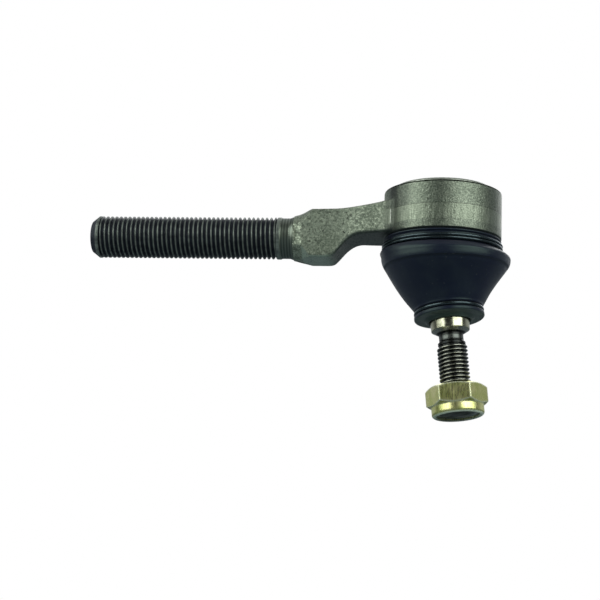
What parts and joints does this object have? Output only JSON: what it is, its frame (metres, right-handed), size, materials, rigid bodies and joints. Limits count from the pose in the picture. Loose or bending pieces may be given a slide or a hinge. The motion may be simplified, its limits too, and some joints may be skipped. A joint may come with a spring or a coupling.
{
  "type": "tie rod end",
  "caption": "Outer tie rod end: forged arm with threaded shank, round ball housing, rubber dust boot, swivelling ball stud and nylon-insert lock nut.",
  "frame": {"origin": "centre of the ball, which lies on the axis of the threaded shank", "axes": "-X out along the threaded shank, +Z out through the closing plate, stud hanging towards -Z"},
  "size_m": [0.1389, 0.0421, 0.0764],
  "materials": {
    "forged_steel": "forged and shot blasted, lightly oiled; shank black oxide",
    "plate_steel": "bare pressed steel",
    "spring_steel": "tempered spring steel",
    "bearing_plastic": "moulded bearing plastic",
    "stud_steel": "turned and rolled steel, thin yellow plating",
    "boot_rubber": "moulded semi-matte rubber",
    "wire_steel": "dark spring wire",
    "nut_zinc": "yellow zinc plating",
    "insert_nylon": "nylon"
  },
  "bodies": {
    "housing": {"forged_body": "forged_steel", "closing_plate": "plate_steel", "disc_spring": "spring_steel", "pressure_pad": "bearing_plastic", "ball_seat": "bearing_plastic", "upper_boot_clip": "wire_steel"},
    "boot": {"dust_boot": "boot_rubber"},
    "boot_lip": {"lower_boot_clip": "wire_steel"},
    "stud": {"ball_stud": "stud_steel"},
    "insert": {"nut_insert": "insert_nylon"},
    "nut": {"lock_nut": "nut_zinc"}
  },
  "joints": [
    {"name": "stud_swing_lengthwise", "type": "hinge", "parent": "housing", "child": "boot", "pos_m": [0, 0, 0], "axis": [0, 1, 0], "range_deg": [-11.9, 24.1], "deforming": ["dust_boot"]},
    {"name": "stud_swing_crosswise", "type": "hinge", "parent": "boot", "child": "boot_lip", "pos_m": [0, 0, 0], "axis": [0.9943, 0, 0.1063], "range_deg": [-12, 24]},
    {"name": "stud_spin", "type": "hinge", "parent": "boot_lip", "child": "stud", "pos_m": [0, 0, 0], "axis": [-0.1057, 0.1045, 0.9889], "continuous": true},
    {"name": "nut_travel", "type": "slide", "parent": "stud", "child": "insert", "axis": [-0.1057, 0.1045, 0.9889], "range_m": [-0.004, 0.013]},
    {"name": "nut_turn", "type": "hinge", "parent": "insert", "child": "nut", "pos_m": [0, 0, 0], "axis": [-0.1057, 0.1045, 0.9889], "range_deg": [-1080, 3600]}
  ],
  "couplings": [
    {"joint": "nut_travel", "follows": "nut_turn", "m_per_rad": 0.00019894}
  ]
}
